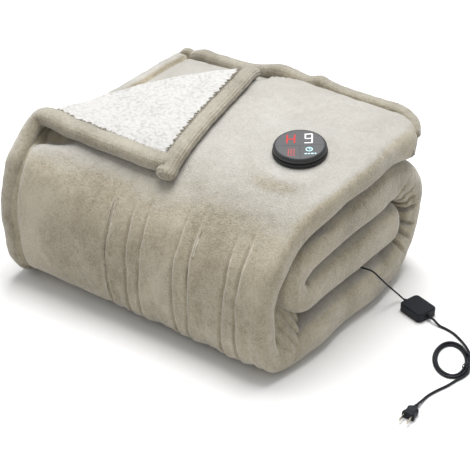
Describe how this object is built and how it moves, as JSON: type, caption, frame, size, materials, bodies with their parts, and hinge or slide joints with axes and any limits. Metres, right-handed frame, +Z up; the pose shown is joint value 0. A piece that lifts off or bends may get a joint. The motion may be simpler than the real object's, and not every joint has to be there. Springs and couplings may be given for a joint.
{
  "type": "heated blanket",
  "caption": "Plush heated blanket, folded and rolled into a block with a corner turned back to show its fleece, with a round controller, inline power box and coiled mains cord.",
  "frame": {"origin": "centre of the box of the blanket and its controller, without the cord, on the surface it rests on", "axes": "+Z up, X along the folded width with the folded end and the cord at +X, and the front of the roll faces -Y"},
  "size_m": [0.7811, 0.5164, 0.3244],
  "materials": {
    "plush": "short velvety pile with a soft sheen",
    "fleece": "curly fleece",
    "dark_plastic": "satin",
    "display": "glossy",
    "cord_rubber": "satin",
    "blade_metal": "plated and polished"
  },
  "bodies": {
    "root": {"plush_roll": "plush", "plush_corner": "plush", "fleece_corner": "fleece", "controller_foot": "dark_plastic", "controller_case": "dark_plastic", "controller_face": "display", "power_box": "dark_plastic", "relief_in": "cord_rubber", "relief_out": "cord_rubber", "cord_lead": "cord_rubber", "cord_mains": "cord_rubber", "cord_coil": "cord_rubber", "coil_tie": "cord_rubber", "cord_tail": "cord_rubber", "plug_body": "cord_rubber", "plug_blade_a": "blade_metal", "plug_blade_b": "blade_metal"}
  },
  "joints": []
}
